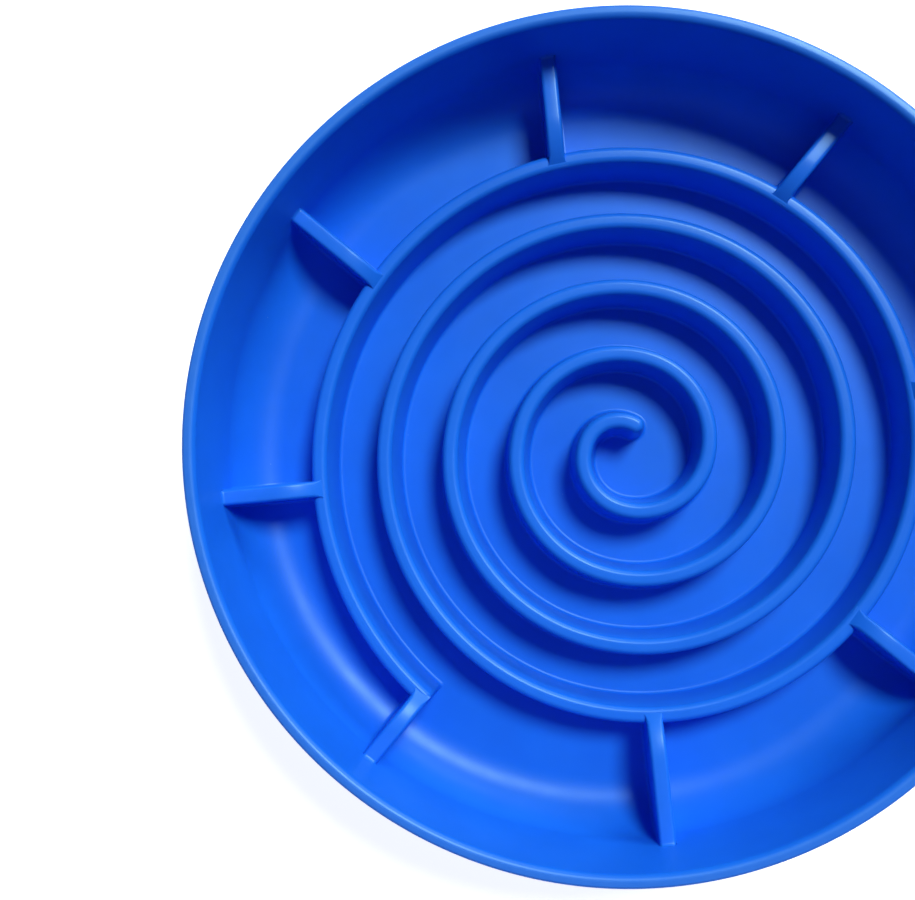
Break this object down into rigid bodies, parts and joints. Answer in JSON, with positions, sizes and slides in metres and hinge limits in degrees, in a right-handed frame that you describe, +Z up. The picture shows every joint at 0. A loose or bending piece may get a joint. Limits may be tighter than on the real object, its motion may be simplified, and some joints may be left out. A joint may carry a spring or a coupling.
{
  "type": "slow feeder bowl",
  "caption": "Round silicone slow feeder bowl with a tall spiral ridge on its floor and upright ribs out to the wall, so that a pet licks its food up slowly.",
  "frame": {"origin": "on the bowl's axis, on the surface that the bowl stands on", "axes": "+Z up out of the bowl, +X to the right and +Y to the top of the picture"},
  "size_m": [0.2, 0.2, 0.039],
  "materials": {
    "silicone": "satin blue silicone"
  },
  "bodies": {
    "root": {"bowl_shell": "silicone", "spiral_turn_1": "silicone", "spiral_turn_2": "silicone", "spiral_turn_3": "silicone", "spiral_turn_4": "silicone", "spiral_turn_5": "silicone", "divider_rib_1": "silicone", "divider_rib_2": "silicone", "divider_rib_3": "silicone", "divider_rib_4": "silicone", "divider_rib_5": "silicone", "divider_rib_6": "silicone", "divider_rib_7": "silicone", "divider_rib_8": "silicone", "suction_cup_1": "silicone", "suction_cup_2": "silicone", "suction_cup_3": "silicone", "suction_cup_4": "silicone", "suction_cup_5": "silicone", "suction_cup_6": "silicone", "suction_cup_7": "silicone", "suction_cup_8": "silicone"}
  },
  "joints": []
}
